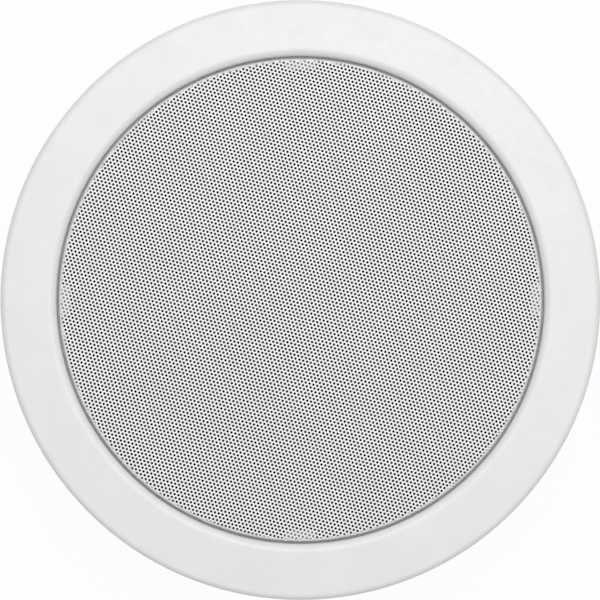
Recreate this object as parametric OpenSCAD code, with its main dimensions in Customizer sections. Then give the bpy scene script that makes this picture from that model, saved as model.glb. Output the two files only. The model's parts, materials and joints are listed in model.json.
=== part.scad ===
// Round flush-mount ceiling loudspeaker: a coaxial two-way driver behind a perforated grille.
// The origin is the centre of the flange's back face, which lies on the panel.
// +Z points out of the panel, towards the listener. All sizes are in millimetres.

/* [Bezel] */
// Outside diameter of the flange
flange_d = 230; // [229:0.5:234]
// Height of the flange's face above the panel
flange_h = 5.5; // [5.3:0.1:6]
// Outward fall of the flange's face, in degrees
face_fall = 4; // [2:0.5:5]
// Diameter of the collar that enters the cut-out
collar_d = 195; // [194.6:0.2:195.6]
// Depth of the barrel behind the panel's face
barrel_depth = 45; // [45:1:50]
// Number of stiffening ribs under the flange
flange_ribs = 32; // [16:4:40]

/* [Grille] */
// Diameter of the recess that the grille sits in
recess_d = 186.8; // [186.6:0.1:187.4]
// Diameter of the grille
grille_d = 184.8; // [184.6:0.1:185]
// Thickness of the grille's sheet
sheet = 0.7; // [0.6:0.1:0.8]
// Distance between neighbouring holes
hole_pitch = 9; // [9:0.5:14]
// Width of a hole across its corners
hole_d = 5.6; // [3:0.1:6]
// Angle of the rows of holes, in degrees
row_angle = 45; // [0:5:90]

/* [Woofer] */
// Outside diameter of the basket's flange
basket_d = 160; // [158:0.5:160]
// Diameter of the cone at its outer edge
cone_d = 121; // [120:0.5:121.5]
// Radius of the voice coil's former
former_r = 13; // [12.9:0.05:13.1]
// Diameter of the ferrite magnet
magnet_d = 90; // [80:1:96]
// Height of the ferrite magnet
magnet_h = 16; // [12:1:18]
// Windows in the basket
basket_windows = 8; // [6:1:8]

/* [Tweeter] */
// Radius of the dome where it meets its surround
dome_r = 12.7; // [12.6:0.05:12.8]
// Height of the dome
dome_h = 4.4; // [3:0.2:4.6]
// Width of the bridge's arms at the middle
bridge_w = 14; // [11:0.5:15]

/* [Clamps] */
// Length of a clamp arm from its screw to its tip
arm_reach = 27; // [25:0.5:27]
// Width of a clamp arm
arm_w = 8.4; // [8:0.1:8.4]
// Height of a clamp arm
arm_h = 9; // [7:0.5:9]
// Diameter of the clamp screw
clamp_screw_d = 3.5; // [3.4:0.1:3.6]

/* [Hidden] */
$fn = 96;
eps = 0.01;

// Bezel levels and radii
flange_r = flange_d / 2;
collar_r = collar_d / 2;
barrel_step = 1.2;
barrel_r = collar_r - barrel_step;
barrel_in_r = barrel_r - 2.2;
recess_r = recess_d / 2;
rim_rib_r = 91.5;
rim_rib_in_r = 89.9;
rim_rib_top = 3.05;
grille_seat = 3.4;
cloth_t = 0.35;
slot_floor = -2;
deck = 2.5;
shoulder = 0.8;
spigot_end = -5.5;
baffle_z = -14;
baffle_hole_r = 71;
lip_r = 3;
edge_r = 2.4;
flange_rim = 2.2;
flange_skin = 2.6;

// Clamp stations, one in each quarter: the screw's place, and the channel that its arm moves in
screw_x = 86.1;
screw_y = -9;
channel_x = 81.6;
channel_y = [-14.8, 19.5];
wall = 1.3;
window_z = [-41, -6];
foot_h = 3;
arm_z = -39.6;
arm_play = 0.05;
nut_flange_h = 1;
nut_r = 3;

// Woofer levels, from the basket's flange down to the back plate
steel = 1.4;
gasket_h = 0.8;
basket_r = basket_d / 2;
basket_z = baffle_z + gasket_h;
flange_top = basket_z + steel;
screw_circle_r = 76.6;
screw_turn = 45;
landing_in_r = 69;
landing_out_r = 72.6;
shelf_z = -34;
top_plate_z = -46;
top_plate_h = 6;
magnet_z = top_plate_z - top_plate_h;
back_plate_z = magnet_z - magnet_h;
back_plate_h = 5;
pole_r = 12.3;
gap_r = 14.1;
rubber = 0.5;
cone_r = cone_d / 2;
cone_edge_z = -12.3;
cone_neck_z = -30;
cone_t = 0.6;
cap_r = 19;

// Tweeter levels
bridge_z = [-3.6, 1.4];
cup_r = 22.4;
seat_z = -3.9;
yoke_r = 16.2;
yoke_z = [-14.6, -4.6];

// Crossover board, in the sector at 45 degrees: u runs along the rim and v out from the centre
board_turn = 45;
board = [56, 28, 1.6];
board_v = 75.5;
board_z = -28.4;
board_back = board_z - board[2];
post_at = [[-25, 67.5], [24.5, 85.6]];
terminal_at = [7, 84];
button_u = [1.5, 12.5];

// Helpers
function arc(c, r, from, to, steps) =
  [for (i = [0 : steps]) let (a = from + (to - from) * i / steps) c + r * [cos(a), sin(a)]];
function unit(v) = v / norm(v);
function on_curve(p, i, t) =
  let (a = p[max(i - 1, 0)], b = p[i], c = p[i + 1], d = p[min(i + 2, len(p) - 1)])
  0.5 * (2 * b + (c - a) * t + (2 * a - 5 * b + 4 * c - d) * t * t
         + (3 * b - a - 3 * c + d) * t * t * t);
function curve(p, n) =
  concat([for (i = [0 : len(p) - 2], k = [0 : n - 1]) on_curve(p, i, k / n)], [p[len(p) - 1]]);

// A round lead that follows the given points
module lead(points, d, sides = 8) {
  last = len(points) - 1;
  side_way = [0.31, 0.17, 0.93];
  rings = [for (i = [0 : last])
    let (along = unit(points[min(i + 1, last)] - points[max(i - 1, 0)]),
         across = unit(cross(along, side_way)),
         up = cross(along, across))
    [for (s = [0 : sides - 1])
      points[i] + d / 2 * (across * cos(360 * s / sides) + up * sin(360 * s / sides))]];
  walls = [for (i = [0 : last - 1], s = [0 : sides - 1])
    let (a = i * sides + s, b = i * sides + (s + 1) % sides) [a, a + sides, b + sides, b]];
  ends = [[for (s = [0 : sides - 1]) s], [for (s = [sides - 1 : -1 : 0]) last * sides + s]];
  polyhedron([for (r = rings, p = r) p], concat(walls, ends));
}

module disc(r, z, top) { translate([0, 0, z]) cylinder(r = r, h = top - z); }

module ring(inner, outer, z, top) {
  rotate_extrude() translate([inner, z]) square([outer - inner, top - z]);
}

module block(x, y, z) { translate([x[0], y[0], z[0]]) cube([x[1] - x[0], y[1] - y[0], z[1] - z[0]]); }

module at_quarters() { for (k = [0 : 3]) rotate(90 * k) children(); }

module at_screw() { translate([screw_x, screw_y, 0]) children(); }

module at_basket_screws(from, to) {
  for (k = [from : to]) rotate(screw_turn + 60 * k) translate([screw_circle_r, 0, 0]) children();
}

// A pan-head screw, head upwards, standing on the surface z = 0
module pan_screw(head_r, head_h, shank_r, length) {
  difference() {
    union() {
      rotate_extrude() polygon(concat([[0, 0], [head_r, 0], [head_r, head_h * 0.4]],
        arc([head_r - head_h * 0.6, head_h * 0.4], head_h * 0.6, 15, 90, 4), [[0, head_h]]));
      translate([0, 0, -length]) cylinder(r = shank_r, h = length + eps);
      translate([0, 0, -length - shank_r]) cylinder(r1 = 0.4, r2 = shank_r, h = shank_r + eps);
    }
    for (turn = [0, 90]) rotate(turn)
      translate([-head_r * 0.6, -head_r * 0.13, head_h * 0.45]) cube([head_r * 1.2, head_r * 0.26, head_h]);
  }
}

// The frame is one white moulding in three nodes: bezel, baffle and barrel
function face_normal() = [sin(face_fall), cos(face_fall)];
function lip_centre() = [recess_r + lip_r, flange_h - lip_r];
function edge_centre() =
  [flange_r - edge_r,
   (lip_centre() * face_normal() + lip_r - edge_r - (flange_r - edge_r) * sin(face_fall))
   / cos(face_fall)];

// Section of the bezel: the flange, the recess's rounded lip, the slot's floor and the spigot
module bezel_section() {
  polygon(concat(
    [[rim_rib_r, slot_floor - deck], [rim_rib_r, slot_floor], [recess_r, slot_floor]],
    arc(lip_centre(), lip_r, 180, 90 - face_fall, 8),
    arc(edge_centre(), edge_r, 90 - face_fall, 0, 7),
    [[flange_r, 0], [flange_r - flange_rim, 0],
     [flange_r - flange_rim, edge_centre()[1] + edge_r - flange_skin],
     [collar_r + shoulder, flange_h - flange_skin], [collar_r + shoulder, 0], [collar_r, 0],
     [collar_r, spigot_end + 0.5], [barrel_r, spigot_end],
     [barrel_in_r, spigot_end], [barrel_in_r, slot_floor - deck]]));
}

module baffle_section() {
  polygon([[baffle_hole_r, baffle_z - deck], [baffle_hole_r, baffle_z], [rim_rib_in_r, baffle_z],
           [rim_rib_in_r, rim_rib_top], [rim_rib_r, rim_rib_top], [rim_rib_r, baffle_z - deck]]);
}

// Box round a clamp's channel, with its deck level with the slot's floor
module turret() {
  intersection() {
    block([channel_x - wall, 100], [channel_y[0] - wall, channel_y[1] + wall],
          [baffle_z - deck, slot_floor]);
    union() {
      disc(rim_rib_r, baffle_z - deck, slot_floor);
      disc(barrel_in_r, baffle_z - deck, slot_floor - deck);
    }
  }
}

module channel() {
  block([channel_x, 92.7], channel_y, [-barrel_depth - 1, slot_floor - deck]);
  block([90, 105], channel_y, window_z);
}

// Foot in the barrel's rear ring that steadies the clamp screw's tip
module screw_foot() {
  difference() {
    intersection() {
      block([screw_x - 4.5, 100], [screw_y - 5, screw_y + 5], [-barrel_depth, -barrel_depth + foot_h]);
      disc(barrel_in_r + 1, -barrel_depth, -barrel_depth + foot_h);
    }
    at_screw() disc(clamp_screw_d / 2 + 0.2, -barrel_depth - 1, -barrel_depth + foot_h + 1);
  }
}

// Lug inside the rim rib that the grille's sheet rests on
module grille_lug() {
  block([88.6, rim_rib_r - 0.3], [-5.75, 5.75], [slot_floor - 0.5, grille_seat]);
}

// Webs behind the baffle that tie it to the barrel, three between each two clamps
module baffle_webs() {
  at_quarters() for (a = [22.5, 45, 67.5]) rotate(a) intersection() {
    block([79.5, 100], [-0.7, 0.7], [baffle_z - deck - 3, baffle_z - deck + 0.1]);
    disc(barrel_in_r, baffle_z - deck - 4, baffle_z);
  }
}

module board_post(at) {
  rotate(board_turn) translate([at[1], at[0], 0])
    difference() {
      disc(3.2, board_z, baffle_z - deck + 0.5);
      disc(1.25, board_z - 1, board_z + 8);
    }
}

module bezel() {
  color([0.93, 0.93, 0.92]) {
    rotate_extrude() bezel_section();
    for (k = [0 : flange_ribs - 1]) rotate(360 / flange_ribs * (k + 0.5))
      block([collar_r + shoulder - 0.3, flange_r - 1], [-0.6, 0.6], [0, 3.1]);
  }
}

// Baffle: carries the woofer, the clamps' screws, the crossover and the rib that the grille grips
module baffle() {
  color([0.93, 0.93, 0.92]) {
    difference() {
      union() {
        rotate_extrude() baffle_section();
        at_quarters() turret();
        at_quarters() grille_lug();
        at_basket_screws(0, 5) disc(3.9, baffle_z - deck - 6, baffle_z - 0.5);
        baffle_webs();
      }
      at_quarters() channel();
      at_quarters() at_screw() disc(clamp_screw_d / 2 + 0.2, slot_floor - deck - 1, slot_floor + 1);
      at_basket_screws(0, 5) disc(1.52, baffle_z - deck - 7, baffle_z + 1);
      rotate(board_turn) translate([85, 9.6, 0]) disc(2.3, baffle_z - deck - 1, baffle_z + 1);
    }
    for (at = post_at) board_post(at);
  }
}

module barrel() {
  color([0.93, 0.93, 0.92]) {
    difference() {
      ring(barrel_in_r, barrel_r, -barrel_depth, spigot_end);
      at_quarters() channel();
    }
    at_quarters() screw_foot();
  }
}

// Grille: a shallow steel pan, perforated over its whole face, with its rim turned down
module grille_rim() {
  r = grille_d / 2;
  bend = 0.9;
  face = grille_seat + sheet;
  rotate_extrude() polygon(concat(
    [[r - 2.2, grille_seat], [r - bend, grille_seat]],
    arc([r - bend, face - bend], bend - sheet, 90, 0, 3),
    [[r - sheet, slot_floor + 0.5], [r, slot_floor + 0.5]],
    arc([r - bend, face - bend], bend, 0, 90, 5),
    [[r - 2.2, face]]));
}

module grille_holes() {
  last = ceil(grille_d / hole_pitch);
  rotate(row_angle)
    for (i = [-last : last], j = [-last : last])
      let (at = hole_pitch * [i + j / 2, j * sqrt(3) / 2])
        if (norm(at) < grille_d / 2 - 2 - hole_d / 2) translate(at) rotate(30) circle(d = hole_d, $fn = 6);
}

module grille() {
  color([0.9, 0.9, 0.89]) union() {
    translate([0, 0, grille_seat]) linear_extrude(sheet) difference() {
      circle(r = grille_d / 2 - 2);
      grille_holes();
    }
    grille_rim();
  }
}

// Black cloth glued behind the grille, cut out round the lugs
module grille_cloth() {
  color([0.05, 0.05, 0.05]) translate([0, 0, grille_seat - cloth_t])
    linear_extrude(cloth_t) difference() {
      circle(r = rim_rib_r - 0.1);
      at_quarters() translate([88.3, -6]) square([5, 12]);
    }
}

// Woofer
module woofer_gasket() {
  color([0.12, 0.12, 0.12]) difference() {
    ring(baffle_hole_r + 0.5, basket_r, baffle_z, basket_z);
    at_basket_screws(0, 5) disc(2, baffle_z - 1, basket_z + 1);
  }
}

module basket_window() {
  rotate([90, 0, 90]) translate([0, -25, 46]) linear_extrude(30) union() {
    square([13.4, 13], center = true);
    square([22.4, 5], center = true);
    for (x = [-7.2, 7.2], y = [-2.5, 2.5]) translate([x, y]) circle(r = 4);
  }
}

module woofer_basket() {
  color([0.1, 0.1, 0.11]) difference() {
    rotate_extrude() polygon([
      [basket_r, flange_top], [68.4, flange_top], [54.8, shelf_z], [44, shelf_z],
      [40.6, top_plate_z + steel], [15.5, top_plate_z + steel], [15.5, top_plate_z],
      [42, top_plate_z], [45.4, shelf_z - steel], [56.2, shelf_z - steel],
      [69.8, basket_z], [basket_r, basket_z]]);
    at_basket_screws(0, 5) disc(1.8, basket_z - 1, flange_top + 1);
    for (k = [0 : basket_windows - 1]) rotate(screw_turn + 360 / basket_windows * k) basket_window();
  }
}

module surround() {
  roll_c = (landing_in_r + cone_r + 1) / 2;
  roll_r = landing_in_r - roll_c;
  inner_z = cone_edge_z + cone_t + 0.05;
  color([0.06, 0.06, 0.06]) rotate_extrude() polygon(concat(
    [[landing_out_r, flange_top], [landing_out_r, flange_top + rubber]],
    arc([roll_c, flange_top + rubber], roll_r, 0, 180, 12),
    [[cone_r - 2.4, flange_top + rubber], [cone_r - 2.4, inner_z], [cone_r + 0.3, inner_z]],
    arc([roll_c, flange_top], roll_r - rubber, 180, 0, 12)));
}

function cone_z(r) =
  let (t = (r - former_r) / (cone_r - 2.6 - former_r))
  cone_neck_z + (cone_edge_z - cone_neck_z) * (1.25 * t - 0.25 * t * t);

function cone_top(r) = cone_z(r) + cone_t * 0.6;

module cone() {
  rs = [for (i = [0 : 8]) former_r + 0.1 + (cone_r - 2.7 - former_r) * i / 8];
  color([0.11, 0.11, 0.11]) rotate_extrude() polygon(concat(
    [[former_r + 0.05, cone_neck_z - 1.5]],
    [for (r = rs) [r + 0.35, cone_z(r) - cone_t * 0.5]],
    [[cone_r, cone_edge_z], [cone_r, cone_edge_z + cone_t]],
    [for (i = [8 : -1 : 0]) [rs[i] - 0.05, cone_top(rs[i])]],
    [[former_r + 0.05, cone_neck_z + 1.2]]));
}

// Domed cap with a flat lip that is glued to the cone
module dust_cap() {
  height = 5.2;
  t = 0.45;
  lip_end = cap_r + 1.6;
  base = cone_top(cap_r) + 0.05;
  sphere_r = (cap_r * cap_r + height * height) / (2 * height);
  top_c = [0, base + height - sphere_r];
  color([0.09, 0.09, 0.09]) rotate_extrude() polygon(concat(
    arc(top_c, sphere_r, 90, 90 - asin((cap_r - 0.6) / sphere_r), 8),
    [[lip_end, cone_top(lip_end) + 0.45], [lip_end, cone_top(lip_end) + 0.05], [cap_r, base]],
    arc(top_c, sphere_r - t, 90 - asin((cap_r - 1.2) / (sphere_r - t)), 90, 8)));
}

module voice_coil_former() {
  color([0.76, 0.6, 0.36]) ring(former_r - 0.3, former_r, -55.5, cone_neck_z + 3);
}

module voice_coil_winding() {
  color([0.72, 0.38, 0.2]) ring(former_r, former_r + 0.6, -55, top_plate_z + 3);
}

function ripple(r) =
  let (t = (r - 17) / 24) r > 17 && r < 41 ? -1.3 * sin(t * 360 * 4) : 0;

module spider() {
  t = 0.5;
  rs = concat([former_r + 0.05, 15], [for (i = [0 : 24]) 17 + i], [52]);
  color([0.78, 0.66, 0.4]) rotate_extrude() polygon(concat(
    [for (r = rs) [r, shelf_z + ripple(r)]],
    [for (i = [len(rs) - 1 : -1 : 0]) [rs[i], shelf_z + t + ripple(rs[i])]]));
}

module top_plate() {
  color([0.7, 0.7, 0.72]) rotate_extrude() polygon([
    [gap_r, magnet_z], [magnet_d / 2 - 5, magnet_z], [magnet_d / 2 - 5, top_plate_z - 0.8],
    [magnet_d / 2 - 5.8, top_plate_z], [gap_r, top_plate_z]]);
}

module ferrite_magnet() {
  c = 0.8;
  r = magnet_d / 2;
  color([0.16, 0.16, 0.17]) rotate_extrude() polygon([
    [22, back_plate_z], [r - c, back_plate_z], [r, back_plate_z + c], [r, magnet_z - c],
    [r - c, magnet_z], [22, magnet_z]]);
}

// Back plate and pole piece, forged as one, with a vent along the pole
module back_plate() {
  low = back_plate_z - back_plate_h;
  r = magnet_d / 2 - 3;
  color([0.7, 0.7, 0.72]) rotate_extrude() polygon([
    [5, low], [r - 2, low], [r, low + 2], [r, back_plate_z], [pole_r + 2, back_plate_z],
    [pole_r, back_plate_z + 2], [pole_r, top_plate_z + 0.6], [3.5, top_plate_z + 0.6], [3.5, low + 2]]);
}

// Fibre strip with two solder tags, riveted to the basket's wall
module terminal_strip() {
  rotate(board_turn) {
    color([0.55, 0.4, 0.22]) block([46, 47.5], [-11, 11], [-42.5, shelf_z - steel]);
    color([0.8, 0.78, 0.7]) {
      translate([47.4, 0, -38.5]) rotate([0, 90, 0]) cylinder(r = 1.7, h = 0.9);
      for (y = [-7, 7]) block([47.5, 48.1], [y - 2, y + 2], [-45.5, shelf_z - steel - 1]);
    }
  }
}

lead_route = [[48.8, 7, -38.5], [53, 6.8, -38.4], [58.2, 6.4, -36.4], [60.4, 6, -32.4], [59.6, 5.7, -28.6],
              [55, 5.5, -26.2], [50, 5.4, -26], [43, 5.1, -26.6], [37, 5, -25], [33.4, 5, -21.9]];

module tinsel_leads() {
  color([0.75, 0.62, 0.35]) rotate(board_turn) for (side = [0, 1]) mirror([0, side, 0])
    lead(curve(lead_route, 3), 1.1, 6);
}

// Tweeter and its bridge
module bridge_side() {
  low = bridge_z[0];
  top = bridge_z[1];
  foot = flange_top + 2.4;
  rotate([90, 0, 0]) linear_extrude(30, center = true) for (side = [0, 1]) mirror([side, 0])
    polygon([[cup_r - 3, low - 2], [cup_r + 3, low], [66, low + 0.6], [70.6, low - 2.4], [70.6, -11.0],
             [73, -11.0], [73, flange_top], [79.6, flange_top], [79.6, foot], [73.4, foot],
             [73.2, low], [70.4, top - 1.6], [64, top - 0.6], [cup_r + 2, top], [cup_r - 3, top]]);
}

module bridge_plan() {
  translate([0, 0, -14]) linear_extrude(18) {
    polygon([[0, bridge_w / 2], [68, 5.2], [73, 5.4], [80, 5.4], [80, -5.4], [73, -5.4], [68, -5.2],
             [0, -bridge_w / 2], [-68, -5.2], [-73, -5.4], [-80, -5.4], [-80, 5.4], [-73, 5.4],
             [-68, 5.2]]);
  }
}

module tweeter_bridge() {
  color([0.08, 0.08, 0.08]) difference() {
    union() {
      rotate(screw_turn) intersection() {
        bridge_side();
        bridge_plan();
      }
      rotate_extrude() polygon([[yoke_r + 0.4, -12], [cup_r - 1.6, -12], [cup_r, -6], [cup_r, 1.0],
        [cup_r - 0.4, bridge_z[1]], [yoke_r + 0.4, bridge_z[1]]]);
    }
    disc(yoke_r + 0.4, -13, 3);
    disc(20.8, seat_z, 3);
    for (k = [0, 3]) rotate(screw_turn + 60 * k) translate([screw_circle_r, 0, 0]) disc(1.8, -14, -5);
    rotate(board_turn) block([14, 26], [8, 11.5], [-9.4, -5]);
  }
}

module tweeter_faceplate() {
  color([0.13, 0.13, 0.13]) rotate_extrude() polygon(concat(
    [[16.0, seat_z], [20.7, seat_z], [20.7, 1.2], [20.3, 1.6], [19.6, 1.6]],
    arc([19.6, -2.4], 4, 90, 165, 6), [[15.6, -2.6], [15.6, seat_z + 0.5]]));
}

module tweeter_dome() {
  t = 0.25;
  base = seat_z - 0.1;
  sphere_r = (dome_r * dome_r + dome_h * dome_h) / (2 * dome_h);
  half = asin(dome_r / sphere_r);
  c = [0, base + dome_h - sphere_r];
  roll = [dome_r + 1.35, base];
  color([0.2, 0.2, 0.22]) rotate_extrude() polygon(concat(
    arc(c, sphere_r, 90, 90 - half, 8), arc(roll, 1.2, 170, 5, 5),
    [[16.0, base], [16.0, base - t], [dome_r + 2.3, base - t]],
    arc(roll, 1.2 - t, 0, 180, 5), [[dome_r - 0.2, base - t]],
    arc(c, sphere_r - t, 90 - half, 90, 8)));
}

module tweeter_voice_coil() {
  color([0.72, 0.38, 0.2]) ring(dome_r - 0.05, dome_r + 0.35, -8, seat_z - 0.35);
}

module tweeter_pole_plate() {
  color([0.7, 0.7, 0.72]) disc(12.2, -7, -4.9);
}

module tweeter_magnet() {
  color([0.75, 0.75, 0.78]) disc(11.4, -12.2, -7);
}

module tweeter_yoke() {
  color([0.7, 0.7, 0.72]) rotate_extrude() polygon([
    [0, yoke_z[0]], [yoke_r - 0.8, yoke_z[0]], [yoke_r, yoke_z[0] + 0.8], [yoke_r, yoke_z[1]],
    [13.9, yoke_z[1]], [13.9, -12.2], [0, -12.2]]);
}

// Crossover board and what it carries, drawn in the board's own sector
module on_board() { rotate(board_turn) children(); }

module crossover_board() {
  color([0.1, 0.32, 0.18]) on_board() difference() {
    block([board_v - board[1] / 2, board_v + board[1] / 2], [-board[0] / 2, board[0] / 2],
          [board_back, board_z]);
    for (at = post_at) translate([at[1], at[0], 0]) disc(1.6, board_back - 1, board_z + 1);
  }
}

module inductor_bobbin() {
  color([0.1, 0.1, 0.1]) on_board() translate([76.5, -14.5, 0]) {
    disc(10, board_back - 1.4, board_back);
    disc(5.2, board_back - 11, board_back);
    disc(10, board_back - 12.4, board_back - 11);
  }
}

module inductor_winding() {
  color([0.72, 0.36, 0.16]) on_board() translate([76.5, -14.5, 0])
    ring(5.2, 9.3, board_back - 11, board_back - 1.4);
}

module capacitor() {
  wire_r = 0.4;
  color([0.1, 0.16, 0.4]) on_board() translate([67.4, -1, board_back - 5.3]) {
    rotate([-90, 0, 0]) rotate_extrude() polygon([
      [0, -1.2], [wire_r, -1.2], [wire_r, 0], [4.4, 0], [5.2, 0.8], [5.2, 2.6], [4.7, 3.1], [5.2, 3.6],
      [5.2, 20.2], [4.4, 21], [wire_r, 21], [wire_r, 22.2], [0, 22.2]]);
    for (u = [-1.2, 22.2]) translate([0, u, -wire_r]) cylinder(r = wire_r, h = 5.3 + wire_r);
  }
}

module resistor() {
  color([0.9, 0.89, 0.84]) on_board() block([73.6, 78.4], [0, 20], [board_back - 6.5, board_back]);
}

// Push terminals: a housing with two wire holes and two sprung buttons
module terminal_housing() {
  u = terminal_at[0];
  v = terminal_at[1];
  color([0.12, 0.12, 0.12]) on_board() difference() {
    block([v - 4.6, v + 4.6], [u - 11, u + 11], [board_back - 13, board_back]);
    for (b = button_u) {
      block([v - 3.6, v - 0.2], [b - 3, b + 3], [board_back - 14, board_back - 4]);
      translate([v + 2.2, b, 0]) disc(1.5, board_back - 14, board_back - 3);
    }
  }
}

module terminal_button(i) {
  b = button_u[i];
  v = terminal_at[1];
  on_board() {
    block([v - 3.2, v - 0.6], [b - 2.6, b + 2.6], [board_back - 16.4, board_back - 6.4]);
    block([v - 3.2, v - 2.2], [b - 2.6, b + 2.6], [board_back - 17.2, board_back - 16.4]);
  }
}

module terminal_button_plus() { color([0.72, 0.07, 0.06]) terminal_button(0); }

module terminal_button_minus() { color([0.07, 0.07, 0.07]) terminal_button(1); }

function woofer_wire_route(u, end) =
  [[63.6, u, board_back - 0.05], [63.4, u, -33.5], [61, u + 0.2 * (end - u), -37.5],
   [57, u + 0.6 * (end - u), -41], [52.5, end, -43.4], [49.0, end, -43.2]];
tweeter_wire_route = [[84.4, 8, -28.2], [84.9, 8.6, -22], [84.9, 9, -15], [84.2, 9, -8.6], [80, 9, -5],
                      [74, 8.8, -3.4], [62, 8.8, -2.4], [44, 9, -2.6], [31, 9, -4], [25.5, 9, -6],
                      [21.5, 9, -7.1], [18.4, 9, -7.4]];

module woofer_wires() {
  color([0.6, 0.08, 0.08]) on_board() {
    lead(curve(woofer_wire_route(-6.4, -7), 3), 1.6);
    lead(curve(woofer_wire_route(-3.4, 7), 3), 1.6);
  }
}

module tweeter_wires() {
  color([0.15, 0.15, 0.15]) on_board() for (step = [0, 1.45]) translate([0, step, 0])
    lead(curve(tweeter_wire_route, 3), 1.3);
}

// Fasteners
module basket_screws() {
  color([0.3, 0.3, 0.32]) {
    at_basket_screws(1, 2) translate([0, 0, flange_top]) pan_screw(2.9, 2.1, 1.5, 9);
    at_basket_screws(4, 5) translate([0, 0, flange_top]) pan_screw(2.9, 2.1, 1.5, 9);
  }
}

module bridge_screws() {
  color([0.3, 0.3, 0.32]) for (k = [0, 3]) at_basket_screws(k, k) translate([0, 0, flange_top + 2.4])
    pan_screw(2.9, 2.1, 1.5, 11);
}

module board_screws() {
  color([0.75, 0.75, 0.76]) on_board() for (at = post_at) translate([at[1], at[0], board_back])
    mirror([0, 0, 1]) pan_screw(2.7, 1.9, 1.2, 7);
}

// Clamps: a long screw, a round nut that climbs it, and an arm that swings out on the nut
module clamp_screw(k) {
  color([0.78, 0.78, 0.8]) rotate(90 * k) at_screw() translate([0, 0, slot_floor + arm_play])
    pan_screw(3, 2.6, clamp_screw_d / 2, barrel_depth - 0.5);
}

module clamp_clip(k) {
  color([0.62, 0.62, 0.64]) rotate(90 * k) at_screw()
    ring(clamp_screw_d / 2, 3.6, -barrel_depth - 1, -barrel_depth - 0.3);
}

module clamp_nut(k) {
  color([0.8, 0.66, 0.34]) rotate(90 * k) at_screw() {
    ring(clamp_screw_d / 2 + 0.05, 4.1, arm_z - nut_flange_h - arm_play, arm_z - arm_play);
    ring(clamp_screw_d / 2 + 0.05, nut_r, arm_z - nut_flange_h - arm_play, arm_z + 5.6);
  }
}

module arm_outline() {
  w = arm_w / 2;
  circle(r = w);
  polygon([[-w, 0], [w, 0], [w, arm_reach - 2], [w - 1.6, arm_reach], [1.6 - w, arm_reach],
           [-w, arm_reach - 2]]);
}

// The arm lies folded along the rim; its toe bites the back of the panel
module arm() {
  plate = 2.6;
  difference() {
    union() {
      translate([0, 0, arm_h - plate]) linear_extrude(plate) arm_outline();
      cylinder(r = arm_w / 2, h = arm_h);
      rotate([90, 0, 90]) linear_extrude(2.4, center = true)
        polygon([[0, 0], [9, 0.4], [arm_reach - 1, arm_h - plate - 0.4],
                 [arm_reach - 1, arm_h - 0.5], [0, arm_h - 0.5]]);
      for (x = [-arm_w / 2, arm_w / 2 - 1.1])
        translate([x, 0, 0]) rotate([90, 0, 90]) linear_extrude(1.1)
          polygon([[0, 2.4], [arm_reach - 5, arm_h - plate - 0.6], [arm_reach - 5, arm_h - 0.5],
                   [0, arm_h - 0.5]]);
      rotate([90, 0, 90]) linear_extrude(arm_w - 1.6, center = true)
        polygon([[arm_reach - 5, arm_h - 0.5], [arm_reach - 0.4, arm_h - 0.5],
                 [arm_reach - 0.4, arm_h + 3], [arm_reach - 1.8, arm_h + 3]]);
    }
    translate([0, 0, -1]) cylinder(r = nut_r + arm_play, h = 6.8);
    translate([0, 0, -1]) cylinder(r = clamp_screw_d / 2 + 0.35, h = arm_h + 2);
  }
}

module clamp_arm(k) {
  color([0.88, 0.88, 0.87]) rotate(90 * k) at_screw() translate([0, 0, arm_z]) arm();
}

bezel();
baffle();
barrel();
grille();
grille_cloth();
woofer_gasket();
woofer_basket();
surround();
cone();
dust_cap();
voice_coil_former();
voice_coil_winding();
spider();
top_plate();
ferrite_magnet();
back_plate();
terminal_strip();
tinsel_leads();
tweeter_bridge();
tweeter_faceplate();
tweeter_dome();
tweeter_voice_coil();
tweeter_pole_plate();
tweeter_magnet();
tweeter_yoke();
crossover_board();
inductor_bobbin();
inductor_winding();
capacitor();
resistor();
terminal_housing();
terminal_button_plus();
terminal_button_minus();
woofer_wires();
tweeter_wires();
basket_screws();
bridge_screws();
board_screws();
for (k = [0 : 3]) {
  clamp_screw(k);
  clamp_clip(k);
  clamp_nut(k);
  clamp_arm(k);
}
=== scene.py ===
"""Looks of the round ceiling loudspeaker: fine grille, soft parts, finishes, light and camera."""

import json
import math

import bpy
import numpy as np
from mathutils import Matrix, Vector
from mathutils.geometry import delaunay_2d_cdt


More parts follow.
